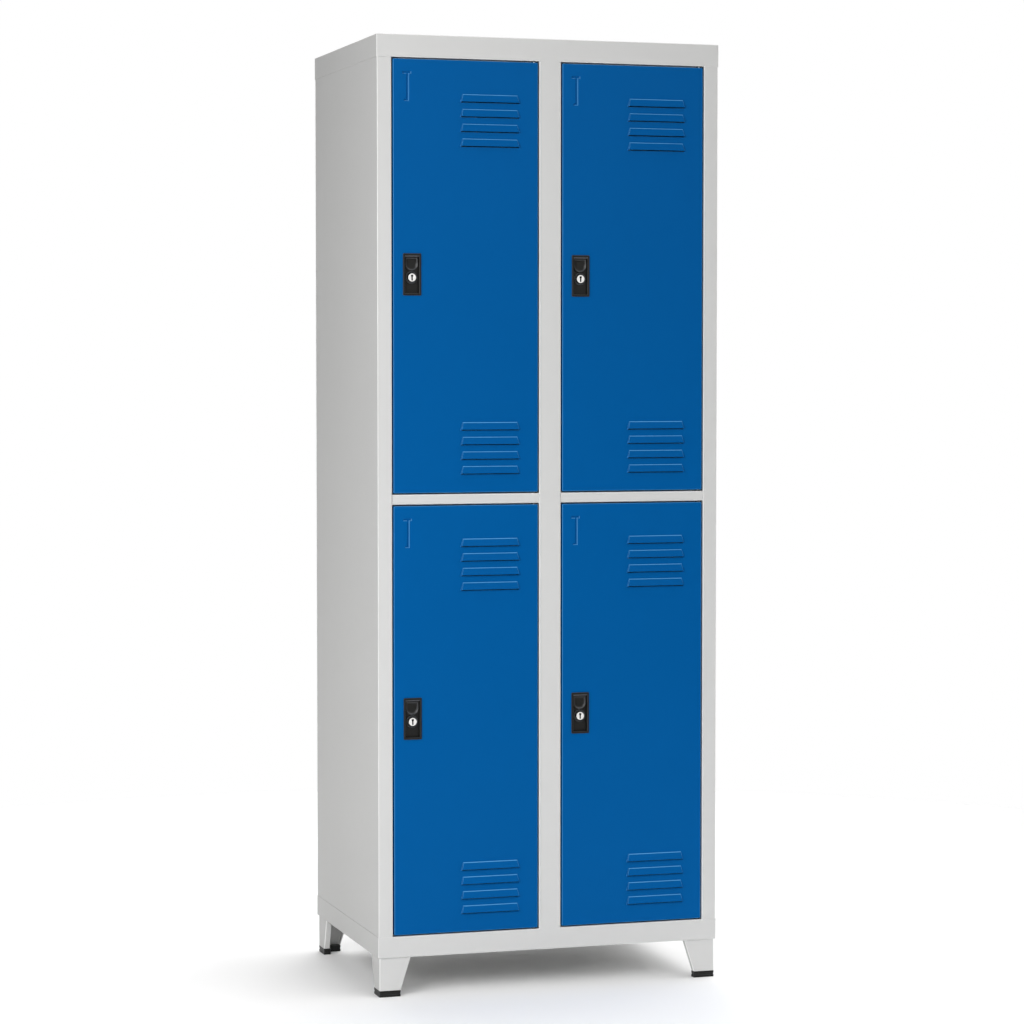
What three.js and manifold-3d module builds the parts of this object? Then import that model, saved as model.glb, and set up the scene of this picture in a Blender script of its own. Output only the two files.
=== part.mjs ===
// Two-tier, two-column sheet-steel locker cabinet on folded corner legs.
// Millimetres, +Z up, front towards -Y, origin on the floor under the middle of the cabinet.
import * as THREE from "three";
import { mergeVertices } from "three/addons/utils/BufferGeometryUtils.js";
import Module from "manifold-3d";

const wasm = await Module();
wasm.setup();

// ---- driving dimensions ------------------------------------------------------------------

const cabinetWidth = 700;
const cabinetDepth = 500;
const cabinetHeight = 1860;
const sheet = 1;
const clearance = 0.3;

const louvreReach = 5;
const frontShift = (louvreReach - sheet) / 2;
const capFront = -cabinetDepth / 2 + frontShift;
const capBack = capFront + cabinetDepth;
const bodyFront = capFront + sheet;
const bodyBack = capBack - sheet;
const bodyHalf = cabinetWidth / 2 - sheet;

const legHeight = 76.5;
const baseSkirt = 41;
const capSkirt = 43.5;
const sillTop = legHeight + baseSkirt;
const headerBottom = cabinetHeight - capSkirt;
const noseHeight = 19.4;
const noseBottom = (sillTop + headerBottom - noseHeight) / 2;
const noseTop = noseBottom + noseHeight;

const stileWidth = 28.8;
const postWidth = 44.3;
const openingOuter = bodyHalf - stileWidth;
const openingInner = postWidth / 2;
const stopFront = bodyFront + 19;
const stopBack = stopFront + sheet;
const stopWidth = 12;
const rearFlange = 20;
const shelfFlange = 15;

const doorSideGap = 3;
const doorEndGap = 2.8;
const doorDepth = 16;
const doorLip = 10;
const doorWidth = openingOuter - openingInner - 2 * doorSideGap;
const doorHeight = headerBottom - noseTop - 2 * doorEndGap;
const doorLimit = { left: -openingOuter + doorSideGap, right: openingInner + doorSideGap };
const doorFoot = { upper: noseTop + doorEndGap, lower: sillTop + doorEndGap };

const pivotInset = 6;
const pinRadius = 3;
const pinReach = 8;
const pinHead = { radius: 4.5, thickness: 4 };
const bushBore = 3.3;
const bushRadius = 4;
const bushDepth = 6;
const bushFlange = { radius: 5.5, thickness: 1.2 };

const louvre = { left: 134.6, width: 119.3, taper: 4.1, height: 14.1, pitch: 28.4, count: 4 };
const topLouvreDrop = 64.9;
const bottomLouvreRise = 37;

const lockInset = 37.2;
const lockRise = 421.5;
const bezel = { width: 36.3, height: 81, proud: 2 };
const housing = { width: 32, height: 74, depth: 10 };
const recess = { width: 28.6, height: 71, depth: 9 };
const cylinderDrop = 6;
const cylinderRadius = 9;
const cylinderRecess = 1;
const keySlot = { width: 2.6, height: 10.8, depth: 4 };
const spindleRadius = 4;
const spindleHead = { radius: 6, thickness: 2 };
const camReach = 38;
const camWidth = 14;
const camThickness = 2;
const camFront = stopBack + 1.5;

const stiffener = { inset: 85, width: 30, depth: 10, flange: 8, endGap: 5 };

const legInset = 3;
const legSheet = 2;
const legTopWidth = 63.5;
const legFootWidth = 43;
const legReturn = 12;
const footHeight = 12.5;
const footArm = 15;
const footGroove = { low: 5, high: 7.5, depth: 0.8 };

const hook = { plateWidth: 30, plateHeight: 60, plate: 2, drop: 100, width: 12, stock: 3 };
// The prong's underside from the plate outwards: how far ahead of it, and how far below its top.
const prongPath = [[-1, 34], [4, 34], [16, 42], [26, 39], [30, 26]];

const overrun = 1;
const pinSegments = 24;
const lockSegments = 32;
const camEndSegments = 8;

// ---- finishes ----------------------------------------------------------------------------

const finish = (color, roughness, metalness) => () =>
  new THREE.MeshStandardMaterial({ color, roughness, metalness });
const greyPaint = finish(0xc9cac8, 0.45, 0.1);
const bluePaint = finish(0x0a5599, 0.4, 0.1);
const blackPlastic = finish(0x1e1e1c, 0.5, 0);
const zinc = finish(0xb4b6b8, 0.35, 0.9);
const silver = finish(0xd8d9da, 0.22, 1);
const blackNylon = finish(0x202020, 0.55, 0);

// ---- solids ------------------------------------------------------------------------------

function toSolid(geometry) {
  const bare = geometry.clone();
  bare.deleteAttribute("normal");
  bare.deleteAttribute("uv");
  const merged = mergeVertices(bare);
  return new wasm.Manifold(new wasm.Mesh({
    numProp: 3,
    vertProperties: new Float32Array(merged.attributes.position.array),
    triVerts: new Uint32Array(merged.index.array),
  }));
}

function toGeometry(solid) {
  const mesh = solid.getMesh();
  const geometry = new THREE.BufferGeometry();
  geometry.setAttribute("position", new THREE.BufferAttribute(new Float32Array(mesh.vertProperties), 3));
  geometry.setIndex(Array.from(mesh.triVerts));
  geometry.computeVertexNormals();
  return geometry;
}

const join = (solids) => solids.reduce((whole, piece) => whole.add(piece));
const cut = (solid, tools) => tools.reduce((left, tool) => left.subtract(tool), solid);

// A block between two limits on each axis, given in either order.
function block(xs, ys, zs) {
  const size = [xs, ys, zs].map(([a, b]) => Math.abs(b - a));
  const middle = [xs, ys, zs].map(([a, b]) => (a + b) / 2);
  return toSolid(new THREE.BoxGeometry(...size).translate(...middle));
}

const axes = {
  x: new THREE.Matrix4().makeBasis(
    new THREE.Vector3(0, 1, 0), new THREE.Vector3(0, 0, 1), new THREE.Vector3(1, 0, 0)),
  y: new THREE.Matrix4().makeBasis(
    new THREE.Vector3(1, 0, 0), new THREE.Vector3(0, 0, 1), new THREE.Vector3(0, -1, 0)),
  z: new THREE.Matrix4(),
};

// An outline run along one axis. Points are (y, z) along x, (x, z) along y and (x, y) along z.
function prism(axis, points, [from, to]) {
  const low = Math.min(from, to);
  const high = Math.max(from, to);
  const shape = new THREE.Shape(points.map(([u, v]) => new THREE.Vector2(u, v)));
  const geometry = new THREE.ExtrudeGeometry(shape, { depth: high - low, bevelEnabled: false });
  geometry.applyMatrix4(axes[axis]);
  const start = { x: [low, 0, 0], y: [0, high, 0], z: [0, 0, low] }[axis];
  return toSolid(geometry.translate(...start));
}

// A turned piece on the Z axis from (radius, height) points, then laid along Y if asked.
function turned(points, segments, [x, y, z], alongY = false) {
  const outline = points.map(([r, h]) => new THREE.Vector2(r, h));
  const geometry = new THREE.LatheGeometry(outline, segments);
  if (!alongY) geometry.rotateX(Math.PI / 2);
  return toSolid(geometry.translate(x, y, z));
}

const drill = (radius, [x, y], [low, high]) =>
  turned([[0, low], [radius, low], [radius, high], [0, high]], pinSegments, [x, y, 0]);

// The outline of a folded sheet: the path is one face, and the sheet lies on its left.
function foldedSheet(path, thickness) {
  const along = path.slice(1).map(([x, y], i) => {
    const [dx, dy] = [x - path[i][0], y - path[i][1]];
    const length = Math.hypot(dx, dy);
    return [dx / length, dy / length];
  });
  const inner = path.map(([x, y], i) => {
    const [before, after] = [along[Math.max(i - 1, 0)], along[Math.min(i, along.length - 1)]];
    const dot = before[0] * after[0] + before[1] * after[1];
    const reach = thickness / (1 + dot);
    return [x - (before[1] + after[1]) * reach, y + (before[0] + after[0]) * reach];
  });
  return [...path, ...inner.reverse()];
}

const flip = (points, side) => points.map(([x, y]) => [x * side, y]);

// ---- the cabinet -------------------------------------------------------------------------

const cabinet = new THREE.Group();

function add(name, solid, material) {
  const mesh = new THREE.Mesh(toGeometry(solid), material());
  mesh.name = name;
  cabinet.add(mesh);
}

const columns = { left: -1, right: 1 };
const tiers = ["upper", "lower"];

// Limits of one column across the cabinet: the door opening, and inside its stop flanges.
function openingOf(column) {
  const low = column === "left" ? -openingOuter : openingInner;
  const high = column === "left" ? -openingInner : openingOuter;
  return {
    opening: [low + clearance, high - clearance],
    inside: [low + stopWidth + clearance, high - stopWidth - clearance],
  };
}

// Limits of one column's compartment between the side panel and the partition.
function compartmentOf(column) {
  const outer = bodyHalf - sheet - clearance;
  const inner = sheet / 2 + clearance;
  return column === "left" ? [-outer, -inner] : [inner, outer];
}

function pivotOf(column) {
  return [doorLimit[column] + doorWidth - pivotInset, bodyFront + pivotInset];
}

// A clearance hole on a door's pivot line, right through a sheet between two heights.
const pivotHole = (radius, column, [low, high]) =>
  drill(radius + clearance, pivotOf(column), [low - overrun, high + overrun]);
const bushHole = (column, through) => pivotHole(bushRadius, column, through);

const below = (z, by) => [z - by, z];
const above = (z, by) => [z, z + by];

function makeTopCap() {
  const shell = block(
    [-bodyHalf - sheet, bodyHalf + sheet], [capFront, capBack], [headerBottom, cabinetHeight]);
  const hollow = block(
    [-bodyHalf, bodyHalf], [bodyFront, bodyBack], [headerBottom - overrun, cabinetHeight - sheet]);
  const pieces = [shell.subtract(hollow)];
  const holes = [];
  for (const column of Object.keys(columns)) {
    const { opening, inside } = openingOf(column);
    pieces.push(block(opening, [capFront, stopFront - clearance], above(headerBottom, sheet)));
    pieces.push(block(inside, [stopFront - 1, stopBack], above(headerBottom, sheet)));
    pieces.push(block(inside, [stopFront, stopBack], [headerBottom - stopWidth, headerBottom + sheet]));
    holes.push(bushHole(column, above(headerBottom, sheet)));
  }
  add("top_cap", cut(join(pieces), holes), greyPaint);
}

function makeBaseTray() {
  const shell = block([-bodyHalf - sheet, bodyHalf + sheet], [capFront, capBack], [legHeight, sillTop]);
  const hollow = block([-bodyHalf, bodyHalf], [bodyFront, bodyBack], [legHeight + sheet, sillTop + overrun]);
  const pieces = [shell.subtract(hollow)];
  const holes = [];
  for (const column of Object.keys(columns)) {
    const { opening } = openingOf(column);
    pieces.push(block(opening, [capFront, stopFront - clearance], below(sillTop, sheet)));
    holes.push(bushHole(column, below(sillTop, sheet)));
  }
  add("base_tray", cut(join(pieces), holes), greyPaint);
}

const bodyRise = [legHeight + sheet, cabinetHeight - sheet];

// One folded sheet: rear flange, side wall, front stile, its return and the door stop.
function makeSidePanel(column) {
  const side = -columns[column];
  const path = flip([
    [-bodyHalf + sheet + rearFlange, bodyBack - sheet],
    [-bodyHalf, bodyBack - sheet],
    [-bodyHalf, bodyFront],
    [-openingOuter, bodyFront],
    [-openingOuter, stopFront],
    [-openingOuter + stopWidth, stopFront],
  ], side);
  if (side < 0) path.reverse();
  add(`side_panel_${column}`, prism("z", foldedSheet(path, sheet), bodyRise), greyPaint);
}

function makeBackPanel() {
  add("back_panel", block([-bodyHalf, bodyHalf], [bodyBack - sheet, bodyBack], bodyRise), greyPaint);
}

// A hat section whose brims are the door stops of both columns.
function makeCentrePost() {
  const path = [
    [-openingInner - stopWidth, stopFront],
    [-openingInner, stopFront],
    [-openingInner, bodyFront],
    [openingInner, bodyFront],
    [openingInner, stopFront],
    [openingInner + stopWidth, stopFront],
  ];
  add("centre_post", prism("z", foldedSheet(path, sheet), bodyRise), greyPaint);
}

function makeCentrePartition() {
  const path = [
    [rearFlange - sheet / 2, bodyBack - sheet],
    [-sheet / 2, bodyBack - sheet],
    [-sheet / 2, bodyFront + sheet],
    [rearFlange - sheet / 2, bodyFront + sheet],
  ];
  add("centre_partition", prism("z", foldedSheet(path, sheet), bodyRise), greyPaint);
}

// Plate with turned-down edges, and a front edge that reaches between the stop flanges.
function makePlate(column, level) {
  const xs = compartmentOf(column);
  const ys = [stopBack + clearance, bodyBack - 2 * sheet - clearance];
  const plate = block(xs, ys, below(level, sheet));
  const rim = block(xs, ys, below(level, shelfFlange))
    .subtract(block(
      [xs[0] + sheet, xs[1] - sheet], [ys[0] - overrun, ys[1] - sheet],
      [level - shelfFlange - overrun, level]));
  const reach = block(openingOf(column).inside, [stopFront, stopBack + 1], below(level, sheet));
  return [plate, rim, reach];
}

// The shelf's front fold is the rail between the two doors, with a stop above and below it.
function makeShelf(column) {
  const { opening, inside } = openingOf(column);
  const level = noseTop + stopWidth;
  const returns = [bodyFront, stopFront - clearance];
  const joggle = [stopFront - 1, stopBack];
  const solid = join([
    ...makePlate(column, level),
    block(opening, [bodyFront, bodyFront + sheet], [noseBottom, noseTop]),
    block(opening, returns, below(noseTop, sheet)),
    block(opening, returns, above(noseBottom, sheet)),
    block(inside, joggle, below(noseTop, sheet)),
    block(inside, joggle, above(noseBottom, sheet)),
    block(inside, [stopFront, stopBack], [noseTop - sheet, level]),
    block(inside, [stopFront, stopBack], [noseBottom - stopWidth, noseBottom + sheet]),
  ]);
  const holes = [noseTop - sheet, noseBottom].map((z) => bushHole(column, above(z, sheet)));
  add(`shelf_${column}`, cut(solid, holes), greyPaint);
}

function makeFloor(column) {
  const level = sillTop + stopWidth;
  const stop = block(openingOf(column).inside, [stopFront, stopBack], below(level, stopWidth + shelfFlange));
  add(`floor_${column}`, join([...makePlate(column, level), stop]), greyPaint);
}

// ---- legs and feet -----------------------------------------------------------------------

const corners = {
  front_left: [-1, -1], front_right: [1, -1], rear_left: [-1, 1], rear_right: [1, 1],
};

// Places measured inwards from a corner of the base tray.
function cornerPlaces([sideX, sideY]) {
  const middleY = (capFront + capBack) / 2;
  return {
    x: (inward) => sideX * (cabinetWidth / 2 - legInset - inward),
    y: (inward) => middleY + sideY * (cabinetDepth / 2 - legInset - inward),
  };
}

// Two tapered flanges meeting at the corner, their free edges turned in, and a top plate.
function makeLeg(name, corner) {
  const { x, y } = cornerPlaces(corner);
  const taper = (inset, place) => [
    [place(inset ? legFootWidth - inset : 0), footHeight],
    [place(legFootWidth), footHeight],
    [place(legTopWidth), legHeight],
    [place(inset ? legTopWidth - inset : 0), legHeight],
  ];
  const depth = (place, by) => [place(0), place(by)];
  add(`leg_${name}`, join([
    prism("y", taper(0, x), depth(y, legSheet)),
    prism("x", taper(0, y), depth(x, legSheet)),
    prism("y", taper(legSheet, x), depth(y, legReturn)),
    prism("x", taper(legSheet, y), depth(x, legReturn)),
    block(depth(x, legTopWidth), depth(y, legTopWidth), below(legHeight, legSheet)),
  ]), greyPaint);
}

function makeFoot(name, corner) {
  const { x, y } = cornerPlaces(corner);
  const angle = (inset) => {
    const long = legFootWidth - inset;
    const wide = footArm - inset;
    return [[inset, inset], [long, inset], [long, wide], [wide, wide], [wide, long], [inset, long]]
      .map(([u, v]) => [x(u), y(v)]);
  };
  add(`foot_${name}`, join([
    prism("z", angle(0), [0, footGroove.low]),
    prism("z", angle(footGroove.depth), [footGroove.low - 1, footGroove.high + 1]),
    prism("z", angle(0), [footGroove.high, footHeight]),
  ]), blackPlastic);
}

// ---- doors -------------------------------------------------------------------------------

// One outward louvre: a slanted blade with slanted ends, open along its lower edge.
function louvreTools(left, top) {
  const bottom = top - louvre.height;
  const slope = louvreReach / louvre.height;
  const drop = Math.hypot(1, slope) / slope * sheet;
  const noseInside = bodyFront - louvreReach + slope * drop;
  const ends = (inset) => [
    [left + inset, bottom - 1],
    [left + inset, bottom],
    [left + louvre.taper + inset, top],
    [left + louvre.width - louvre.taper - inset, top],
    [left + louvre.width - inset, bottom],
    [left + louvre.width - inset, bottom - 1],
  ];
  const across = [left, left + louvre.width];
  const through = bodyFront + 3;
  const blade = prism("x", [
    [bodyFront + sheet / 2, top], [bodyFront, top], [bodyFront - louvreReach, bottom],
    [bodyFront + sheet / 2, bottom],
  ], across).intersect(prism("y", ends(0), [bodyFront - 10, through]));
  const hollow = prism("x", [
    [through, top - drop], [bodyFront, top - drop], [noseInside, bottom], [noseInside, bottom - 1],
    [bodyFront, bottom - 1], [bodyFront, bottom], [through, bottom],
  ], across).intersect(prism("y", ends(sheet), [bodyFront - 10, through]));
  return { blade, hollow };
}

function louvreTops(foot) {
  const top = foot + doorHeight - topLouvreDrop;
  const bottom = foot + bottomLouvreRise + louvre.height;
  return Array.from({ length: louvre.count }, (_, i) => [top - i * louvre.pitch, bottom + i * louvre.pitch])
    .flat();
}

const lockPlace = (column, tier) => [doorLimit[column] + lockInset, doorFoot[tier] + lockRise];

function makeDoorPanel(column, tier) {
  const [left, right] = [doorLimit[column], doorLimit[column] + doorWidth];
  const [foot, head] = [doorFoot[tier], doorFoot[tier] + doorHeight];
  const [lockX, lockZ] = lockPlace(column, tier);
  const inset = (by) => [[left + by, right - by], [foot + by, head - by]];
  const layer = (by, ys) => block(inset(by)[0], ys, inset(by)[1]);
  const louvres = louvreTops(foot).map((top) => louvreTools(left + louvre.left, top));
  const pan = cut(layer(0, [bodyFront, bodyFront + doorDepth]), [
    layer(sheet, [bodyFront + sheet, bodyFront + doorDepth - sheet]),
    layer(doorLip, [bodyFront + doorDepth - sheet - overrun, bodyFront + doorDepth + overrun]),
  ]);
  add(`door_panel_${tier}_${column}`, cut(join([pan, ...louvres.map(({ blade }) => blade)]), [
    ...louvres.map(({ hollow }) => hollow),
    block(
      [lockX - housing.width / 2 - clearance, lockX + housing.width / 2 + clearance],
      [bodyFront - overrun, bodyFront + sheet + overrun],
      [lockZ - housing.height / 2 - clearance, lockZ + housing.height / 2 + clearance]),
    pivotHole(pinRadius, column, above(foot, sheet)),
    pivotHole(pinRadius, column, below(head, sheet)),
  ]), bluePaint);
}

function makeDoorStiffener(column, tier) {
  const start = doorLimit[column] + stiffener.inset;
  const end = start + stiffener.width;
  const [near, far] = [bodyFront + sheet, bodyFront + sheet + stiffener.depth];
  const path = [
    [start - stiffener.flange, near], [start, near], [start, far],
    [end, far], [end, near], [end + stiffener.flange, near],
  ];
  const rise = [doorFoot[tier] + stiffener.endGap, doorFoot[tier] + doorHeight - stiffener.endGap];
  add(`door_stiffener_${tier}_${column}`, prism("z", foldedSheet(path, sheet), rise), bluePaint);
}

// ---- locks -------------------------------------------------------------------------------

// Black surround with a finger recess, carrying the lock cylinder low in its floor.
function makeLockHousing(column, tier) {
  const [x, z] = lockPlace(column, tier);
  const around = ({ width, height }, ys) =>
    block([x - width / 2, x + width / 2], ys, [z - height / 2, z + height / 2]);
  const face = bodyFront - bezel.proud;
  const solid = around(bezel, [face, bodyFront]).add(around(housing, [face, bodyFront + housing.depth]));
  const bore = turned(
    [[0, face], [cylinderRadius + clearance, face], [cylinderRadius + clearance, stopFront], [0, stopFront]],
    lockSegments, [x, 0, z - cylinderDrop], true);
  add(`lock_housing_${tier}_${column}`, cut(solid, [
    around(recess, [face - overrun, face + recess.depth]),
    bore,
  ]), blackPlastic);
}

// Key plug with its spindle behind; the cam sits on the spindle between a shoulder and a head.
function makeLockCylinder(column, tier) {
  const [x, z] = lockPlace(column, tier);
  const axis = z - cylinderDrop;
  const face = bodyFront - bezel.proud + cylinderRecess;
  const shoulder = camFront - clearance;
  const camBack = camFront + camThickness + clearance;
  const back = camBack + spindleHead.thickness;
  const plug = turned([
    [0, face], [cylinderRadius, face], [cylinderRadius, shoulder], [spindleRadius, shoulder],
    [spindleRadius, camBack], [spindleHead.radius, camBack], [spindleHead.radius, back], [0, back],
  ], lockSegments, [x, 0, axis], true);
  const keyway = block(
    [x - keySlot.width / 2, x + keySlot.width / 2], [face - overrun, face + keySlot.depth],
    [axis - keySlot.height / 2, axis + keySlot.height / 2]);
  add(`lock_cylinder_${tier}_${column}`, plug.subtract(keyway), silver);
}

function makeLockCam(column, tier) {
  const [x, z] = lockPlace(column, tier);
  const axis = z - cylinderDrop;
  const outline = [];
  const half = camWidth / 2;
  for (let i = 0; i <= camEndSegments; i += 1) {
    const angle = Math.PI * i / camEndSegments;
    outline.push([x + half * Math.cos(angle), axis + half * Math.sin(angle)]);
  }
  outline.push([x - half, axis - camReach], [x + half, axis - camReach]);
  const ys = [camFront, camFront + camThickness];
  const [near, far] = [ys[0] - overrun, ys[1] + overrun];
  const bore = turned(
    [[0, near], [spindleRadius + clearance, near], [spindleRadius + clearance, far], [0, far]],
    lockSegments, [x, 0, axis], true);
  add(`lock_cam_${tier}_${column}`, prism("y", outline, ys).subtract(bore), zinc);
}

// ---- hinge pins and bushes ---------------------------------------------------------------

// A headed pin standing out of a door edge; towards is +1 at the top edge and -1 at the foot.
function makeHingePin(name, column, edge, towards) {
  const inner = edge - towards * sheet;
  const points = [
    [0, inner - towards * pinHead.thickness],
    [pinHead.radius, inner - towards * pinHead.thickness], [pinHead.radius, inner],
    [pinRadius, inner], [pinRadius, edge + towards * pinReach], [0, edge + towards * pinReach],
  ];
  const outline = towards > 0 ? points : points.reverse();
  add(name, turned(outline, pinSegments, [...pivotOf(column), 0]), zinc);
}

// A flanged bearing bush in a frame hole; the flange faces the door.
function makeHingeBush(name, column, face, towards) {
  const points = [
    [bushBore, face - towards * bushFlange.thickness],
    [bushFlange.radius, face - towards * bushFlange.thickness],
    [bushFlange.radius, face],
    [bushRadius, face],
    [bushRadius, face + towards * bushDepth],
    [bushBore, face + towards * bushDepth],
  ];
  const outline = towards > 0 ? points : points.reverse();
  add(name, turned([...outline, outline[0]], pinSegments, [...pivotOf(column), 0]), blackNylon);
}

// ---- coat hooks --------------------------------------------------------------------------

// A screw-on plate against the back panel with one prong folded forwards and up.
function makeCoatHook(column, tier, ceiling) {
  const [low, high] = compartmentOf(column);
  const x = (low + high) / 2;
  const wall = bodyBack - sheet;
  const top = ceiling - hook.drop;
  const face = wall - hook.plate;
  const prong = foldedSheet(prongPath.map(([ahead, drop]) => [face - ahead, top - drop]), hook.stock);
  add(`coat_hook_${tier}_${column}`, join([
    block([x - hook.plateWidth / 2, x + hook.plateWidth / 2], [face, wall], below(top, hook.plateHeight)),
    prism("x", prong, [x - hook.width / 2, x + hook.width / 2]),
  ]), zinc);
}

// ---- assembly ----------------------------------------------------------------------------

makeTopCap();
makeBaseTray();
makeBackPanel();
makeCentrePost();
makeCentrePartition();
for (const [name, corner] of Object.entries(corners)) {
  makeLeg(name, corner);
  makeFoot(name, corner);
}
for (const column of Object.keys(columns)) {
  makeSidePanel(column);
  makeShelf(column);
  makeFloor(column);
  for (const tier of tiers) {
    const foot = doorFoot[tier];
    const head = foot + doorHeight;
    makeDoorPanel(column, tier);
    makeDoorStiffener(column, tier);
    makeLockHousing(column, tier);
    makeLockCylinder(column, tier);
    makeLockCam(column, tier);
    makeHingePin(`hinge_pin_top_${tier}_${column}`, column, head, 1);
    makeHingePin(`hinge_pin_bottom_${tier}_${column}`, column, foot, -1);
    makeHingeBush(`hinge_bush_top_${tier}_${column}`, column, head + doorEndGap, 1);
    makeHingeBush(`hinge_bush_bottom_${tier}_${column}`, column, foot - doorEndGap, -1);
    const ceiling = tier === "upper" ? cabinetHeight - sheet : noseTop + stopWidth - sheet;
    makeCoatHook(column, tier, ceiling);
  }
}

export default cabinet;
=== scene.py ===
"""Steel locker cabinet with two tiers of two doors, on folded corner legs.

Its pieces, finishes, light and camera.
"""

import math

import bmesh
import bpy
from mathutils import Matrix, Vector


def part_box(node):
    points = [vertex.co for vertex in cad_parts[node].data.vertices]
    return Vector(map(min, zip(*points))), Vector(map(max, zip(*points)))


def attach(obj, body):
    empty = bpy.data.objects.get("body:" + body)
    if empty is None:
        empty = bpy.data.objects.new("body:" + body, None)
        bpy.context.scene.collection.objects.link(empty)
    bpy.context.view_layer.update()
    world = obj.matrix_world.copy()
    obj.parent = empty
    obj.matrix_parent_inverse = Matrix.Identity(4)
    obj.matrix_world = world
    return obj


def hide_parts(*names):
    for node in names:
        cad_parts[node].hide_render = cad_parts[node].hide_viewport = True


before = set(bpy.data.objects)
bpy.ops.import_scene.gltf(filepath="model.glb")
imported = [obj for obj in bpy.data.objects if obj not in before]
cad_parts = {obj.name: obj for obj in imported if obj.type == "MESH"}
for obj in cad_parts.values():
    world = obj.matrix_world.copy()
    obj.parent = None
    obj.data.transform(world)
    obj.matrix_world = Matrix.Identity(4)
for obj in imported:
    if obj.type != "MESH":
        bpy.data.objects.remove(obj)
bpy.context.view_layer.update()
scene = bpy.context.scene

# ---- sizes, in metres ----------------------------------------------------------------------

MM = 0.001
TOUCH = 0.05 * MM  # distances below this count as none
X, Y, Z = Vector((1, 0, 0)), Vector((0, 1, 0)), Vector((0, 0, 1))

SHEET = 1 * MM
GAP = 0.3 * MM
FOLD = 2 * MM
STILE = 28.8 * MM
STOP_DEPTH = 19 * MM
STOP_WIDTH = 12 * MM
REAR_FLANGE = 20 * MM
SHELF_FLANGE = 15 * MM
CAP_SKIRT = 43.5 * MM
NOSE = 19.4 * MM
RAIL_FOLD = 2.8 * MM
FLOOR_FOLD = 1.6 * MM
LIP_FOLD = 1.2 * MM
STOP_BEND = 3 * MM  # depth kept behind the door stops for their bends
CUT_EASE = 0.16  # rounding of a cut edge, as a share of the sheet
SHARP = 70  # degrees between faces at a cut edge

WELD_RADIUS = 3 * MM
WELD_CELL = 4.8 * MM  # half the side of the square that a weld mark is pressed in
WELD_DEPTH = 0.15 * MM
WELD_SIDES = 12
WELD_COLUMNS = (-0.94, 0.015, 0.94)  # shares of half the back's width
WELD_ROWS = 12

DOOR_LIP = 10 * MM
DOOR_FOLD = 1.8 * MM
LOCK_COLUMN = 62 * MM  # strip along the door's left edge with the card slot and the lock
HOUSING_HOLE = (32.6 * MM, 74.6 * MM)
RIB_FLANGE = 8 * MM

LOUVRE_REACH = 5 * MM
LOUVRE_LEFT = 134.6 * MM
LOUVRE_WIDTH = 119.3 * MM
LOUVRE_TAPER = 4.1 * MM
LOUVRE_HEIGHT = 14.1 * MM
LOUVRE_PITCH = 28.4 * MM
LOUVRE_COUNT = 4
LOUVRE_SLOT = 2.2 * MM
LOUVRE_EDGE = 1.1 * MM
LOUVRE_STEP = 1.6 * MM
LOUVRE_EASE = 0.62 * MM
LOUVRE_CUT = 80 * MM  # how far left of a louvre its cuts may reach
TOP_LOUVRE_DROP = 64.9 * MM
BOTTOM_LOUVRE_RISE = 37 * MM

CARD_SLOT_DROP = 24 * MM
CARD_SLOT_BAR = (18.8 * MM, 36.4 * MM, 5 * MM)  # left, right, height
CARD_SLOT_STEM = (26.4 * MM, 32 * MM, 57 * MM)  # left, right, height with the bar
CARD_SLOT_TOE = (22.4 * MM, 4 * MM)  # left, height
CARD_SLOT_WALL = 1.3 * MM
CARD_SLOT_DEPTH = 2.4 * MM
CARD_SLOT_LEAN = Vector((-0.3, 0, 0.3)) * MM

LEG_SHEET = 2 * MM
LEG_TOP = 63.5 * MM
LEG_FOOT = 43 * MM
LEG_RETURN = 12 * MM
LEG_FOLD = 3 * MM
PLATE_EASE = 0.3 * MM
FOOT_ARM = 15 * MM
FOOT_CORNER = 1.8 * MM
FOOT_GROOVE = (4.6 * MM, 7.8 * MM)  # heights of its edges
GROOVE_EDGE, GROOVE_DEPTH = 0.5 * MM, 0.8 * MM
FOOT_EASE = 0.5 * MM

KEYWAY_DEPTH = 4 * MM

STUDIO_FLOOR = 2.6
SKY_RIGHT = 6.4
SKY_BEHIND = 1.6
LAMP_AIM = (0, 0, 0.9)
LAMPS = (  # name, place, size, watts
    ("key_lamp", (-2.1, -5, 2.4), (2.2, 2.2), 56),
    ("high_lamp", (1.4, -4.5, 2.8), (3, 2), 36),
    ("side_lamp", (-2.4, -2.2, 2.0), (1.4, 1.6), 63),
    ("rear_lamp", (0.6, 3.6, 3.4), (3, 2), 70),
)

TIERS = ("upper", "lower")
COLUMNS = ("left", "right")
CORNERS = ("front_left", "front_right", "rear_left", "rear_right")

# ---- making shapes -------------------------------------------------------------------------


def block(low, high):
    """A box between two corners."""
    size, centre = high - low, (low + high) / 2
    bm = bmesh.new()
    place = Matrix.Translation(centre) @ Matrix.Diagonal((*size, 1))
    bmesh.ops.create_cube(bm, size=1, matrix=place)
    return bm


def middle(item):
    return sum((v.co for v in item.verts), Vector()) / len(item.verts)


def verts_of(geometry):
    return [g for g in geometry if isinstance(g, bmesh.types.BMVert)]


def pick(items, test):
    """The edges or faces whose middle passes a test."""
    return [item for item in items if test(middle(item))]


def between(low, high):
    """A test for a middle inside the box between two corners, each a Vector."""
    return lambda c: all(a - TOUCH < value < b + TOUCH for a, value, b in zip(low, c, high))


def creases(bm, least=50):
    """The edges whose two faces meet at more than an angle in degrees."""
    bm.normal_update()
    return [e for e in bm.edges if len(e.link_faces) == 2 and e.calc_face_angle() > math.radians(least)]


def upright(edge):
    return abs(edge.verts[0].co.z - edge.verts[1].co.z) > TOUCH


def into_depth(edge):
    return abs(edge.verts[0].co.y - edge.verts[1].co.y) > TOUCH


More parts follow.
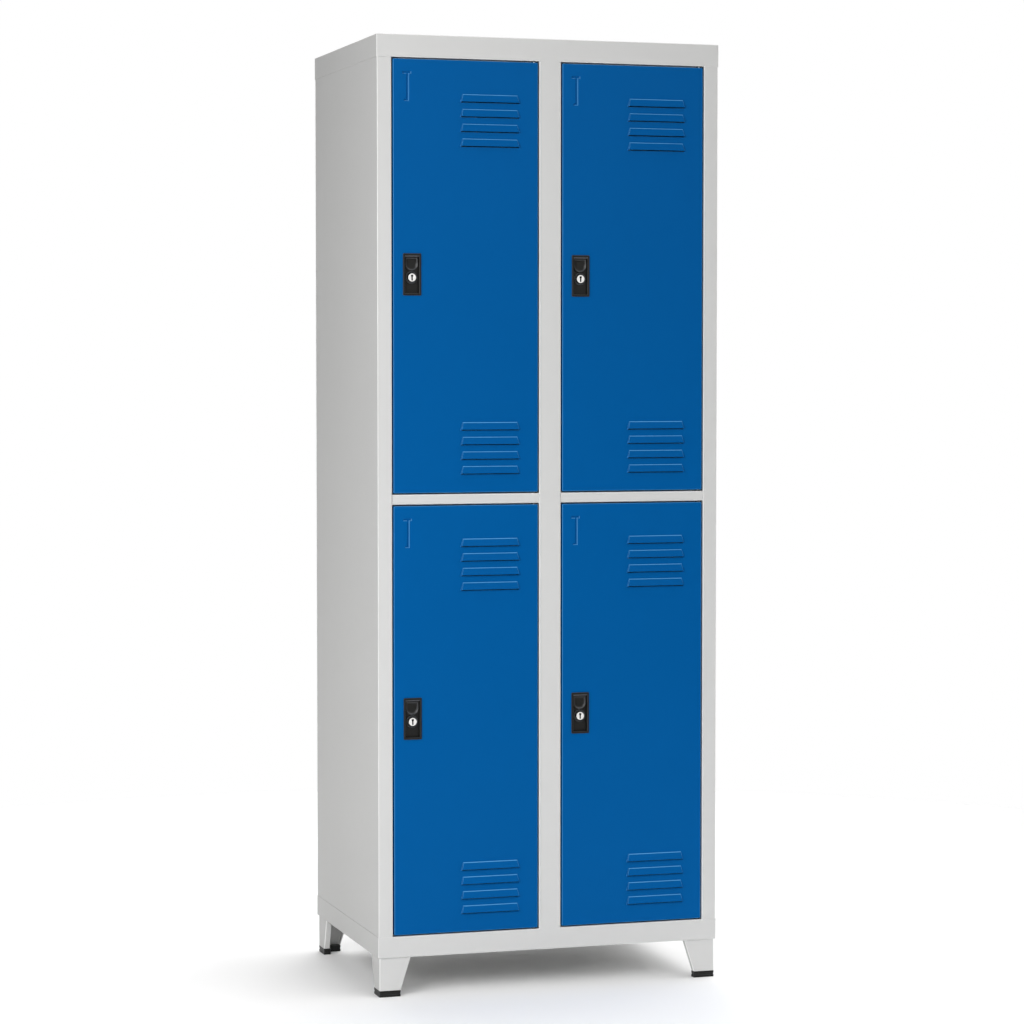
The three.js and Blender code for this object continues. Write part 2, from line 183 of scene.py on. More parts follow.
def soften(bm, edges, width, steps=3):
    """Rounds edges over by a width."""
    bmesh.ops.bevel(
        bm, geom=edges, offset=width, offset_type="OFFSET", affect="EDGES", segments=steps, profile=0.5,
        material=-1, clamp_overlap=True)


def drop(bm, faces):
    bmesh.ops.delete(bm, geom=faces, context="FACES")


def slit(bm, faces, place, across):
    """Cuts faces along the plane through a point, square to a direction."""
    edges = {e for f in faces for e in f.edges}
    verts = {v for f in faces for v in f.verts}
    bmesh.ops.bisect_plane(bm, geom=[*faces, *edges, *verts], dist=1e-6, plane_co=place, plane_no=across)


def draw_out(bm, edges, vector):
    """Extrudes edges along a vector and returns the new far edges."""
    drawn = bmesh.ops.extrude_edge_only(bm, edges=edges)["geom"]
    verts = verts_of(drawn)
    bmesh.ops.translate(bm, verts=verts, vec=vector)
    moved = set(verts)
    return [g for g in drawn if isinstance(g, bmesh.types.BMEdge) and all(v in moved for v in g.verts)]


def step_in(bm, faces, width, depth=0.0):
    """Insets a region of faces, and moves it out by a depth."""
    return bmesh.ops.inset_region(
        bm, faces=faces, use_boundary=True, use_even_offset=True, thickness=width, depth=depth)["faces"]


def strip(path, axis, start, reach):
    """An open sheet through a path, drawn out along X or Z. Its faces look to the right of the path."""
    place = {"x": lambda u, v: (start, u, v), "z": lambda u, v: (u, v, start)}[axis]
    bm = bmesh.new()
    corners = [bm.verts.new(place(u, v)) for u, v in path]
    edges = [bm.edges.new(pair) for pair in zip(corners, corners[1:])]
    draw_out(bm, edges, {"x": X, "z": Z}[axis] * reach)
    bmesh.ops.reverse_faces(bm, faces=bm.faces)
    return bm


def look_out(bm, face_test, direction):
    """Turns the faces of an open sheet the same way round, so that the tested face looks in a direction."""
    bmesh.ops.recalc_face_normals(bm, faces=bm.faces)
    bm.normal_update()
    if pick(bm.faces, face_test)[0].normal.dot(direction) < 0:
        bmesh.ops.reverse_faces(bm, faces=bm.faces)


def thicken(bm, wall=SHEET):
    """Gives an open sheet its thickness inwards and eases its cut edges."""
    bmesh.ops.solidify(bm, geom=bm.faces[:], thickness=wall)
    soften(bm, creases(bm, SHARP), wall * CUT_EASE, 1)
    return bm


def fold_up(bm, bend=FOLD, wall=SHEET, steps=3):
    """Rounds the folds of an open sheet, then gives it its thickness."""
    soften(bm, creases(bm), bend, steps)
    return thicken(bm, wall)


def turned(points, centre, axis, steps=32, ring=False):
    """Turns (radius, height) points about an axis: a solid that starts and ends on it, or a ring."""
    bm = bmesh.new()
    verts = [bm.verts.new(centre + X * r + axis * h) for r, h in points]
    edges = [bm.edges.new(pair) for pair in zip(verts, verts[1:] + (verts[:1] if ring else []))]
    bmesh.ops.spin(
        bm, geom=verts + edges, cent=centre, axis=axis, angle=math.tau, steps=steps, use_merge=True)
    bmesh.ops.remove_doubles(bm, verts=bm.verts, dist=1e-6)
    bmesh.ops.recalc_face_normals(bm, faces=bm.faces)
    return bm


def put_together(*parts):
    """Several shapes in one piece."""
    whole = bmesh.new()
    for part in parts:
        mesh = bpy.data.meshes.new("part")
        part.to_mesh(mesh)
        part.free()
        whole.from_mesh(mesh)
        bpy.data.meshes.remove(mesh)
    return whole


def piece(bm, name, body, slot, nodes, smooth=35):
    """Makes the finished object: smooth over its roundings, painted, riding on its body for its nodes."""
    mesh = bpy.data.meshes.new(name)
    bm.to_mesh(mesh)
    bm.free()
    mesh.shade_smooth()
    mesh.set_sharp_from_angle(angle=math.radians(smooth))
    mesh.materials.append(FINISHES[slot])
    obj = bpy.data.objects.new(name, mesh)
    scene.collection.objects.link(obj)
    even = obj.modifiers.new("even_normals", "WEIGHTED_NORMAL")
    even.keep_sharp = True
    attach(obj, body)
    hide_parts(*nodes)
    return obj


# ---- finishes ------------------------------------------------------------------------------


class Value:
    """A socket whose number varies over the surface. Sums and products of it add Math nodes."""

    def __init__(self, nodes, socket):
        self.nodes, self.socket = nodes, socket

    def maths(self, operation, first, second):
        return self.nodes.node("ShaderNodeMath", {"operation": operation}, {0: first, 1: second})

    def __add__(self, other):
        return self.maths("ADD", self, other)

    def __sub__(self, other):
        return self.maths("SUBTRACT", self, other)

    def __rsub__(self, other):
        return self.maths("SUBTRACT", other, self)

    def __mul__(self, other):
        return self.maths("MULTIPLY", self, other)

    __radd__ = __add__
    __rmul__ = __mul__


class Nodes:
    """The nodes of one finish, or of the studio's surroundings."""

    def __init__(self, tree, shader):
        self.tree, self.shader = tree, tree.nodes[shader]

    def set(self, key, value):
        self.feed(self.shader, key, value)

    def feed(self, node, key, value):
        if isinstance(value, Value):
            self.tree.links.new(value.socket, node.inputs[key])
        else:
            node.inputs[key].default_value = value

    def node(self, kind, settings, inputs, output=0):
        """Adds a node with its settings and inputs, and returns one of its outputs."""
        node = self.tree.nodes.new(kind)
        for key, value in settings.items():
            setattr(node, key, value)
        for key, value in inputs.items():
            self.feed(node, key, value)
        return Value(self, node.outputs[output])

    def blend(self, first, second, amount):
        """Mixes two colours, or a colour and a result of this, by an amount."""
        ends = [shade if isinstance(shade, Value) else (*shade, 1) for shade in (first, second)]
        return self.node("ShaderNodeMix", {"data_type": "RGBA"}, {0: amount, 6: ends[0], 7: ends[1]}, 2)


class Finish(Nodes):
    """One surface finish."""

    def __init__(self, name, colour, roughness, **settings):
        self.material = bpy.data.materials.new(name)
        self.material.use_nodes = True
        super().__init__(self.material.node_tree, "Principled BSDF")
        self.place = self.node("ShaderNodeTexCoord", {}, {}, "Object")
        self.set("Base Color", (*colour, 1))
        self.set("Roughness", roughness)
        for key, value in settings.items():
            self.set(key.replace("_", " ").title().replace("Ior", "IOR"), value)

    def noise(self, scale, detail=2, roughness=0.5, stretch=(1, 1, 1)):
        place = self.node("ShaderNodeMapping", {}, {"Vector": self.place, "Scale": stretch})
        return self.node("ShaderNodeTexNoise", {}, {
            "Vector": place, "Scale": scale, "Detail": detail, "Roughness": roughness})

    def ramp(self, value, low, high):
        """Rises from 0 to 1 while a value goes from low to high."""
        return self.node("ShaderNodeMapRange", {}, {"Value": value, "From Min": low, "From Max": high})

    def facing(self):
        """1 where the surface looks straight ahead or back, falling to 0 where it looks across."""
        normal = self.node("ShaderNodeTexCoord", {}, {}, "Normal")
        ahead = self.node("ShaderNodeSeparateXYZ", {}, {"Vector": normal}, "Y")
        return ahead * ahead

    def bends(self):
        """Rises to 1 in the middle of a fold and is 0 on flat sheet and on returns; it masks the painted
        highlights on folds.
        """
        facing = self.facing()
        turned_away = 4 * facing * (1 - facing)
        steep = turned_away * turned_away
        return steep * steep

    def pressings(self):
        """0 on the flat front, and 1 on everything pressed or folded away from it."""
        return self.ramp(1 - self.facing(), 0.02, 0.07)

    def bump(self, height, depth, strength=1.0):
        self.set("Normal", self.node(
            "ShaderNodeBump", {}, {"Height": height, "Distance": depth, "Strength": strength}))


def powder_coat(name, dark, light, fold_highlight, roughness, specular):
    """Baked powder paint: orange peel, clouding, uneven gloss, duller paint on pressed shapes, and a painted
    highlight along the folds.
    """
    finish = Finish(name, light, roughness, specular_ior_level=specular)
    cloud = finish.noise(2.2, 3)
    peel = finish.noise(430, 2, 0.6) + 0.35 * finish.noise(1500, 1)
    coat = finish.blend(dark, light, cloud * 0.8 + 0.2 * finish.noise(38, 2))
    # Painted highlight: folds are blended towards a pale colour, standing in for light caught on the bends.
    finish.set("Base Color", finish.blend(coat, fold_highlight, finish.bends() * (0.8 + 0.2 * finish.noise(60, 2))))
    finish.set("Roughness", roughness - 0.05 + 0.1 * finish.noise(9, 3) + 0.35 * finish.pressings())
    finish.bump(peel, 0.05 * MM, 0.5)
    return finish.material


def moulded_plastic():
    """Black moulded plastic with a fine spark-eroded grain, and a painted highlight on its roundings."""
    finish = Finish("black_moulding", (0.014, 0.014, 0.013), 0.4, specular_ior_level=0.3)
    grain = finish.noise(1900, 2, 0.6)
    black = finish.blend((0.006, 0.006, 0.0055), (0.010, 0.010, 0.009), finish.noise(60, 3))
    # Painted highlight: the roundings are blended towards a grey, standing in for light caught on the bezel's
    # edges.
    finish.set("Base Color", finish.blend(black, (0.085, 0.09, 0.1), finish.bends()))
    finish.set("Roughness", 0.36 + 0.14 * finish.noise(140, 3))
    finish.bump(grain, 0.02 * MM, 0.5)
    return finish.material


def plated(name, dark, light, low, high, stretch):
    """Plated metal with fine drawn lines and a clouded shine."""
    finish = Finish(name, light, low, metallic=1.0)
    lines = finish.noise(900, 2, 0.6, stretch)
    finish.set("Base Color", finish.blend(dark, light, finish.noise(70, 3)))
    finish.set("Roughness", low + (high - low) * finish.noise(160, 2))
    finish.bump(lines, 0.01 * MM, 0.4)
    return finish.material


def plug_nickel():
    """Satin nickel on the face, with painted shade behind it as far as the keyway's end."""
    finish = Finish("satin_nickel", (0.9, 0.89, 0.87), 0.5, metallic=0.3, specular_ior_level=0.3)
    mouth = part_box("lock_cylinder_upper_left")[0].y
    depth = finish.node("ShaderNodeSeparateXYZ", {}, {"Vector": finish.place}, "Y")
    inside = finish.ramp(depth, mouth + 0.02 * MM, mouth + 0.1 * MM)
    beyond = finish.ramp(depth, mouth + KEYWAY_DEPTH + 1 * MM, mouth + KEYWAY_DEPTH + 1.4 * MM)
    plating = finish.blend((0.80, 0.79, 0.77), (0.90, 0.89, 0.87), finish.noise(70, 3))
    shade = inside * (1 - beyond)
    # Painted shade: the keyway's inside is blended to near black between its mouth and its end.
    finish.set("Base Color", finish.blend(plating, (0.002, 0.002, 0.002), shade))
    finish.set("Roughness", 0.4 + 0.14 * finish.noise(160, 2) + 0.4 * shade)
    finish.bump(finish.noise(900, 2, 0.6, (1, 0.2, 1)), 0.01 * MM, 0.4)
    return finish.material


def black_nylon():
    finish = Finish("black_nylon", (0.02, 0.02, 0.02), 0.5)
    cloud = finish.noise(120, 2)
    finish.set("Base Color", finish.blend((0.012, 0.012, 0.012), (0.024, 0.024, 0.023), cloud))
    finish.bump(finish.noise(1400, 2), 0.02 * MM, 0.4)
    return finish.material


# The third colour of each powder coat is its painted highlight on folds.
FINISHES = {
    "grey_paint": powder_coat(
        "grey_powder_coat", (0.585, 0.585, 0.578), (0.612, 0.612, 0.604), (0.98, 0.98, 0.97), 0.55, 0.15),
    "blue_paint": powder_coat(
        "blue_powder_coat", (0.0003, 0.087, 0.292), (0.0006, 0.094, 0.312), (0.1, 0.35, 0.66), 0.4, 0.03),
    "black_plastic": moulded_plastic(),
    "zinc_plated_steel": plated(
        "zinc_plate", (0.52, 0.53, 0.54), (0.66, 0.67, 0.68), 0.28, 0.46, (1, 1, 0.15)),
    "nickel_plated_lock": plug_nickel(),
    "nylon": black_nylon(),
}

# ---- carcass -------------------------------------------------------------------------------

back_low, back_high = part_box("back_panel")
cap_low, cap_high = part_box("top_cap")
tray_low, tray_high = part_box("base_tray")
post_low, post_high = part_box("centre_post")

body_front = post_low.y
stop_front = body_front + STOP_DEPTH
header_bottom = cap_high.z - CAP_SKIRT
opening_outer = back_high.x - STILE
opening_inner = post_high.x - STOP_WIDTH


def opening_of(column):
    """Limits of a column's door opening across the cabinet, with clearance."""
    if column == "left":
        return -opening_outer + GAP, -opening_inner - GAP
    return opening_inner + GAP, opening_outer - GAP


def on_front_lip(x_limits, y, z):
    """A test for the middle of an edge on the front lip, within limits across the cabinet."""
    low, high = x_limits
    return lambda c: low < c.x < high and c.y < y + TOUCH and abs(c.z - z) < TOUCH


def make_top_cap():
    bm = block(Vector((cap_low.x, cap_low.y, header_bottom)), cap_high)
    drop(bm, pick(bm.faces, lambda c: c.z < header_bottom + TOUCH))
    soften(bm, creases(bm), FOLD)
    front = cap_low.y
    for column in COLUMNS:
        low, high = opening_of(column)
        for x in (low, low + STOP_WIDTH, high - STOP_WIDTH, high):
            slit(bm, [f for f in bm.faces if middle(f).y < front + TOUCH], Vector((x, 0, 0)), X)
    for column in COLUMNS:
        low, high = opening_of(column)
        folds = [e for e in pick(bm.edges, on_front_lip((low, high), front, header_bottom)) if e.is_boundary]
        far = draw_out(bm, folds, Y * (stop_front - GAP - front))
        inner = pick(far, lambda c: low + STOP_WIDTH < c.x < high - STOP_WIDTH)
        draw_out(bm, inner, -Z * STOP_WIDTH)
    look_out(bm, lambda c: c.z > cap_high.z - TOUCH, Z)
    soften(bm, creases(bm), LIP_FOLD)
    thicken(bm)
    piece(bm, "top_cap_pressing", "carcass", "grey_paint", ["top_cap"])


def make_base_tray():
    bm = block(tray_low, tray_high)
    drop(bm, pick(bm.faces, lambda c: c.z > tray_high.z - TOUCH))
    soften(bm, creases(bm), FOLD)
    front = tray_low.y
    for column in COLUMNS:
        for x in opening_of(column):
            slit(bm, [f for f in bm.faces if middle(f).y < front + TOUCH], Vector((x, 0, 0)), X)
    for column in COLUMNS:
        sill = pick(bm.edges, on_front_lip(opening_of(column), front, tray_high.z))
        draw_out(bm, [e for e in sill if e.is_boundary], Y * (stop_front - GAP - front))
    look_out(bm, lambda c: c.z < tray_low.z + TOUCH, -Z)
    soften(bm, creases(bm), LIP_FOLD)
    thicken(bm)
    piece(bm, "base_tray_pressing", "carcass", "grey_paint", ["base_tray"])


def make_side_panel(column):
    """Rear flange, side wall, front stile, its return and the door stop, folded from one sheet."""
    side = -1 if column == "left" else 1
    low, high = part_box(f"side_panel_{column}")
    wall = low.x if column == "left" else high.x
    path = [
        (wall - side * (REAR_FLANGE + SHEET), high.y),
        (wall, high.y),
        (wall, body_front),
        (wall - side * STILE, body_front),
        (wall - side * STILE, stop_front),
        (wall - side * (STILE + STOP_WIDTH), stop_front),
    ]
    bm = strip(path if side < 0 else path[::-1], "z", low.z, high.z - low.z)
    piece(fold_up(bm), f"side_pressing_{column}", "carcass", "grey_paint", [f"side_panel_{column}"])


def make_centre_post():
    path = [
        (post_low.x, stop_front),
        (-opening_inner, stop_front),
        (-opening_inner, body_front),
        (opening_inner, body_front),
        (opening_inner, stop_front),
        (post_high.x, stop_front),
    ]
    bm = fold_up(strip(path, "z", post_low.z, post_high.z - post_low.z))
    piece(bm, "centre_post_pressing", "carcass", "grey_paint", ["centre_post"])


def make_centre_partition():
    low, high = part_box("centre_partition")
    path = [(high.x, high.y), (low.x, high.y), (low.x, low.y), (high.x, low.y)]
    bm = fold_up(strip(path, "z", low.z, high.z - low.z))
    piece(bm, "centre_partition_pressing", "carcass", "grey_paint", ["centre_partition"])


def make_back_panel():
    """Back sheet with rows of spot welds along the side flanges and the partition."""
    half = back_high.x
    path = [(half, back_high.y), (-half, back_high.y)]
    bm = strip(path, "z", back_low.z, back_high.z - back_low.z)
    rise = back_high.z - back_low.z
    heights = [back_low.z + rise * (row + 0.5) / WELD_ROWS for row in range(WELD_ROWS)]
    for x in (half * share + side * WELD_CELL for share in WELD_COLUMNS for side in (-1, 1)):
        slit(bm, bm.faces[:], Vector((x, 0, 0)), X)
    for z in (height + side * WELD_CELL for height in heights for side in (-1, 1)):
        slit(bm, bm.faces[:], Vector((0, 0, z)), Z)
    for share in WELD_COLUMNS:
        for z in heights:
            spot = Vector((half * share, back_high.y, z))
            cell = pick(bm.faces, lambda c: (c - spot).length < WELD_RADIUS)
            press_spot(bm, cell[0], WELD_RADIUS, WELD_DEPTH)
    look_out(bm, lambda c: c.z > back_high.z - rise / WELD_ROWS, Y)
    thicken(bm)
    piece(bm, "back_sheet", "carcass", "grey_paint", ["back_panel"])


def press_spot(bm, cell, radius, depth):
    """Replaces a square face by a round mark pressed into it."""
    bm.normal_update()
    centre, normal = cell.calc_center_median(), cell.normal.copy()
    rim = cell.edges[:]
    bmesh.ops.delete(bm, geom=[cell], context="FACES_ONLY")
    place = Matrix.Translation(centre) @ Z.rotation_difference(normal).to_matrix().to_4x4()
    disc = bmesh.ops.create_circle(
        bm, cap_ends=True, segments=WELD_SIDES, radius=radius, matrix=place)["verts"]
    bmesh.ops.bridge_loops(bm, edges=rim + list({e for v in disc for e in v.link_edges}))
    cap = [f for f in disc[0].link_faces if len(f.verts) == WELD_SIDES]
    bm.normal_update()
    sunk = depth if cap[0].normal.dot(normal) < 0 else -depth
    step_in(bm, cap, radius * 0.25, sunk)


def turn_down_sides(bm, low, high):
    """Draws the side flanges down from the plate of a shelf or a floor."""
    sides = [e for e in bm.edges if e.is_boundary and middle(e).z > high.z - TOUCH
             and (abs(middle(e).x - low.x) < TOUCH or abs(middle(e).x - high.x) < TOUCH)]
    draw_out(bm, sides, -Z * SHELF_FLANGE)
    bmesh.ops.remove_doubles(bm, verts=bm.verts, dist=TOUCH)
    look_out(bm, lambda c: c.z > high.z - TOUCH, Z)


def make_shelf(column):
    """Plate, stops and the rail between the two doors, folded from one sheet."""
    low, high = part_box(f"shelf_{column}")
    open_low, open_high = opening_of(column)
    level, rear = high.z, high.y
    nose_top = level - STOP_WIDTH
    nose_bottom = nose_top - NOSE
    path = [
        (rear, level - SHELF_FLANGE), (rear, level), (stop_front, level), (stop_front, nose_top),
        (body_front, nose_top), (body_front, nose_bottom), (stop_front, nose_bottom),
        (stop_front, nose_bottom - STOP_WIDTH),
    ]
    bm = strip(path, "x", low.x, high.x - low.x)
    stop_limits = (open_low + STOP_WIDTH, open_high - STOP_WIDTH)
    behind_stop = stop_front + STOP_BEND
    slit(bm, pick(bm.faces, lambda c: c.z > level - TOUCH), Vector((0, behind_stop, 0)), Y)
    for x in (open_low, *stop_limits, open_high):
        slit(bm, pick(bm.faces, lambda c: c.y < behind_stop), Vector((x, 0, 0)), X)

    def spare(c):
        if c.y > behind_stop:
            return False
        limits = stop_limits if c.y > stop_front - TOUCH else (open_low, open_high)
        return not limits[0] < c.x < limits[1]

    drop(bm, pick(bm.faces, spare))
    turn_down_sides(bm, low, high)
    piece(fold_up(bm, RAIL_FOLD), f"shelf_pressing_{column}", "carcass", "grey_paint", [f"shelf_{column}"])


def make_floor(column):
    """Compartment floor with turned-down edges and a front stop."""
    low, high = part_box(f"floor_{column}")
    open_low, open_high = opening_of(column)
    level, rear = high.z, high.y
    path = [(rear, level - SHELF_FLANGE), (rear, level), (stop_front, level), (stop_front, low.z)]
    bm = strip(path, "x", low.x, high.x - low.x)
    behind_stop = stop_front + STOP_BEND
    slit(bm, pick(bm.faces, lambda c: c.z > level - TOUCH), Vector((0, behind_stop, 0)), Y)
    limits = (open_low + STOP_WIDTH, open_high - STOP_WIDTH)
    for x in limits:
        slit(bm, pick(bm.faces, lambda c: c.y < behind_stop), Vector((x, 0, 0)), X)
    drop(bm, pick(bm.faces, lambda c: c.y < behind_stop and not limits[0] < c.x < limits[1]))
    turn_down_sides(bm, low, high)
    piece(fold_up(bm, FLOOR_FOLD), f"floor_pressing_{column}", "carcass", "grey_paint", [f"floor_{column}"])


# ---- legs and feet -------------------------------------------------------------------------


def corner_places(node, corner):
    """Functions that measure inwards from the outer corner of a leg or foot."""
    low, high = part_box(node)
    side_x, side_y = (1 if "right" in corner else -1), (1 if "rear" in corner else -1)
    outer_x, outer_y = (high.x if side_x > 0 else low.x), (high.y if side_y > 0 else low.y)
    return (lambda by: outer_x - side_x * by), (lambda by: outer_y - side_y * by), side_x * side_y, low, high


def make_leg(corner):
    """Two tapered flanges with their free edges turned in, under a top plate."""
    x, y, hand, low, high = corner_places(f"leg_{corner}", corner)
    path = [(x(LEG_RETURN), y(LEG_FOOT)), (x(0), y(LEG_FOOT)), (x(0), y(0)), (x(LEG_FOOT), y(0)),
            (x(LEG_FOOT), y(LEG_RETURN))]
    bm = strip(path if hand > 0 else path[::-1], "z", low.z, high.z - low.z)
    top = [v for v in bm.verts if v.co.z > high.z - TOUCH]
    far_x = [v for v in top if abs(v.co.x - x(LEG_FOOT)) < TOUCH]
    far_y = [v for v in top if abs(v.co.y - y(LEG_FOOT)) < TOUCH]
    bmesh.ops.translate(bm, verts=far_x, vec=X * (x(LEG_TOP) - x(LEG_FOOT)))
    bmesh.ops.translate(bm, verts=far_y, vec=Y * (y(LEG_TOP) - y(LEG_FOOT)))
    fold_up(bm, LEG_FOLD, LEG_SHEET, 4)
    ends = Vector((x(GAP), y(GAP), high.z - LEG_SHEET)), Vector((x(LEG_TOP), y(LEG_TOP), high.z))
    plate = block(Vector(map(min, *ends)), Vector(map(max, *ends)))
    soften(plate, [e for e in plate.edges if upright(e)], LEG_FOLD)
    soften(plate, creases(plate, SHARP), PLATE_EASE, 1)
    piece(put_together(bm, plate), f"folded_leg_{corner}", "carcass", "grey_paint", [f"leg_{corner}"])


def make_foot(corner):
    """Moulded angle foot with a groove round it."""
    x, y, _, low, high = corner_places(f"foot_{corner}", corner)
    outline = [
        (0, 0), (LEG_FOOT, 0), (LEG_FOOT, FOOT_ARM), (FOOT_ARM, FOOT_ARM), (FOOT_ARM, LEG_FOOT),
        (0, LEG_FOOT)]
    bm = bmesh.new()
    sole = bm.faces.new([bm.verts.new((x(u), y(v), low.z)) for u, v in outline])
    top = bmesh.ops.extrude_face_region(bm, geom=[sole])["geom"]
    bmesh.ops.translate(bm, verts=verts_of(top), vec=Z * (high.z - low.z))
    bmesh.ops.recalc_face_normals(bm, faces=bm.faces)
    soften(bm, [e for e in bm.edges if upright(e)], FOOT_CORNER)
    groove = [low.z + height for height in FOOT_GROOVE]
    for z in groove:
        slit(bm, bm.faces[:], Vector((0, 0, z)), Z)
    band = [f for f in bm.faces if groove[0] < middle(f).z < groove[1]]
    step_in(bm, band, GROOVE_EDGE, -GROOVE_DEPTH)
    rims = [e for e in creases(bm, 60) if not upright(e)
            and (e.verts[0].co.z < low.z + TOUCH or e.verts[0].co.z > high.z - TOUCH)]
    soften(bm, rims, FOOT_EASE, 2)
    piece(bm, f"moulded_foot_{corner}", "carcass", "black_plastic", [f"foot_{corner}"])


# ---- doors ---------------------------------------------------------------------------------


def louvre_tops(foot, head):
    """Height of each louvre's top edge, in the two groups of a door."""
    top = head - TOP_LOUVRE_DROP
    bottom = foot + BOTTOM_LOUVRE_RISE + LOUVRE_HEIGHT
    rows = [i * LOUVRE_PITCH for i in range(LOUVRE_COUNT)]
    return [top - row for row in rows] + [bottom + row for row in rows]


def press_louvre(bm, left, front, top):
    """Presses one hood out of the sheet: a step along the top and both ends, open along its lower edge."""
    cut = top - LOUVRE_HEIGHT - LOUVRE_SLOT
    right = left + LOUVRE_WIDTH
    inside = between(Vector((left, front, cut)), Vector((right, front, top)))
    for x, lean in ((left, LOUVRE_TAPER), (right, -LOUVRE_TAPER)):
        rise = top - cut
        slit(bm, [f for f in bm.faces if cut < middle(f).z < top and abs(middle(f).y - front) < TOUCH
                  and middle(f).x > left - LOUVRE_CUT],
             Vector((x, front, cut)), Vector((rise, 0, -lean)).normalized())
    cell = pick(bm.faces, inside)
    ring = step_in(bm, cell, LOUVRE_EDGE)
    drop(bm, [f for f in ring if middle(f).z < cut + LOUVRE_STEP])
    blade = pick(bm.faces, inside)
    blade = [f for f in blade if f not in ring]
    verts = {v for f in blade for v in f.verts}
    half = (top + cut) / 2
    bmesh.ops.translate(bm, verts=[v for v in verts if v.co.z > half], vec=-Y * LOUVRE_STEP)
    bmesh.ops.translate(
        bm, verts=[v for v in verts if v.co.z < half], vec=Z * (LOUVRE_SLOT - LOUVRE_EDGE) - Y * LOUVRE_REACH)
    return blade


def press_card_slot(bm, left, front, head):
    """A shallow T with a toe, pressed in to hold a name card."""
    bar_left, bar_right, bar_height = CARD_SLOT_BAR
    stem_left, stem_right, stem_height = CARD_SLOT_STEM
    toe_left, toe_height = CARD_SLOT_TOE
    top = head - CARD_SLOT_DROP
    levels = (top, top - bar_height, top - stem_height + toe_height, top - stem_height)
    column = lambda c: abs(c.y - front) < TOUCH and c.x < left + LOCK_COLUMN
    for z in levels:
        slit(bm, pick(bm.faces, column), Vector((0, 0, z)), Z)
    for x in (bar_left, toe_left, stem_left, stem_right, bar_right):
        slit(bm, pick(bm.faces, lambda c: column(c) and levels[3] < c.z < top), Vector((left + x, 0, 0)), X)

    def in_slot(c):
        across = c.x - left
        if not column(c) or not levels[3] < c.z < top:
            return False
        if c.z > levels[1]:
            return bar_left < across < bar_right
        if c.z < levels[2]:
            return toe_left < across < stem_right
        return stem_left < across < stem_right

    slot = pick(bm.faces, in_slot)
    step_in(bm, slot, CARD_SLOT_WALL, -CARD_SLOT_DEPTH)
    bottom = list({v for f in slot for v in f.verts})
    bmesh.ops.translate(bm, verts=bottom, vec=CARD_SLOT_LEAN)


def make_door(tier, column):
    """Folded door pan with its louvres, card slot and lock opening."""
    node = f"door_panel_{tier}_{column}"
    low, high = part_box(node)
    lock_low, lock_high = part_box(f"lock_housing_{tier}_{column}")
    front = low.y + LOUVRE_REACH
    bm = block(Vector((low.x, front, low.z)), high)
    back = pick(bm.faces, lambda c: c.y > high.y - TOUCH)
    step_in(bm, back, DOOR_LIP)
    drop(bm, back)
    soften(bm, creases(bm), DOOR_FOLD)

    flat = lambda c: abs(c.y - front) < TOUCH
    slit(bm, pick(bm.faces, flat), Vector((low.x + LOCK_COLUMN, 0, 0)), X)
    tops = louvre_tops(low.z, high.z)
    for z in (level for top in tops for level in (top, top - LOUVRE_HEIGHT - LOUVRE_SLOT)):
        slit(bm, pick(bm.faces, lambda c: flat(c) and c.x > low.x + LOCK_COLUMN), Vector((0, 0, z)), Z)
    blades = [f for top in tops for f in press_louvre(bm, low.x + LOUVRE_LEFT, front, top)]
    ridges = [e for f in blades for e in f.edges if len(e.link_faces) == 2]
    feet = [e for f in blades for v in f.verts for g in v.link_faces if g not in blades for e in g.edges
            if e not in ridges and len(e.link_faces) == 2 and all(flat(v.co) for v in e.verts)]
    soften(bm, list(dict.fromkeys(ridges + feet)), LOUVRE_EASE, 2)

    press_card_slot(bm, low.x, front, high.z)
    lock = (lock_low + lock_high) / 2
    wide, tall = (size / 2 for size in HOUSING_HOLE)
    in_column = lambda c: flat(c) and c.x < low.x + LOCK_COLUMN
    for z in (lock.z - tall, lock.z + tall):
        slit(bm, pick(bm.faces, in_column), Vector((0, 0, z)), Z)
    for x in (lock.x - wide, lock.x + wide):
        slit(bm, pick(bm.faces, lambda c: in_column(c) and abs(c.z - lock.z) < tall), Vector((x, 0, 0)), X)
    drop(bm, pick(bm.faces, lambda c: flat(c) and abs(c.x - lock.x) < wide and abs(c.z - lock.z) < tall))
    look_out(bm, flat, -Y)
    thicken(bm)
    piece(bm, f"door_skin_{tier}_{column}", f"door_{tier}_{column}", "blue_paint", [node])


def make_stiffener(tier, column):
    low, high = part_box(f"door_stiffener_{tier}_{column}")
    near, far = low.y, high.y - SHEET
    path = [
        (low.x, near), (low.x + RIB_FLANGE, near), (low.x + RIB_FLANGE, far),
        (high.x - RIB_FLANGE, far), (high.x - RIB_FLANGE, near), (high.x, near),
    ]
    bm = fold_up(strip(path, "z", low.z, high.z - low.z))
    piece(bm, f"stiffener_rib_{tier}_{column}", f"door_{tier}_{column}", "blue_paint",
          [f"door_stiffener_{tier}_{column}"])


# ---- locks ---------------------------------------------------------------------------------

BEZEL_FRAME = 3.9 * MM
BEZEL_CORNER = 1.9 * MM
BEZEL_OUTER_EASE, BEZEL_INNER_EASE = 0.7 * MM, 1.1 * MM
HOUSING_BODY = (32 * MM, 74 * MM)  # width and height behind the door skin
BODY_DRAFT, FRAME_DRAFT, RECESS_DRAFT = 0.2 * MM, 0.1 * MM, 0.25 * MM
LIP_DEPTH = 2.6 * MM
LIP_HEIGHT = 2.6 * MM
LIP_EASE = 0.4 * MM
RECESS_DEPTH = 7 * MM

SCOOP_HALF = 12.9 * MM
SCOOP_FOOT = 12.9 * MM
SCOOP_RISE = 2.6 * MM
SCOOP_ROOT = 3 * MM
SCOOP_EASE = 0.35 * MM
# inset and added depth of each step down into the hollow, in millimetres
SCOOP_STEPS = ((0.5, 0), (0.7, 0.25), (0.9, 0.75), (1.4, 0.9), (2.0, 0.8), (2.6, 0.55), (2.6, 0.25))

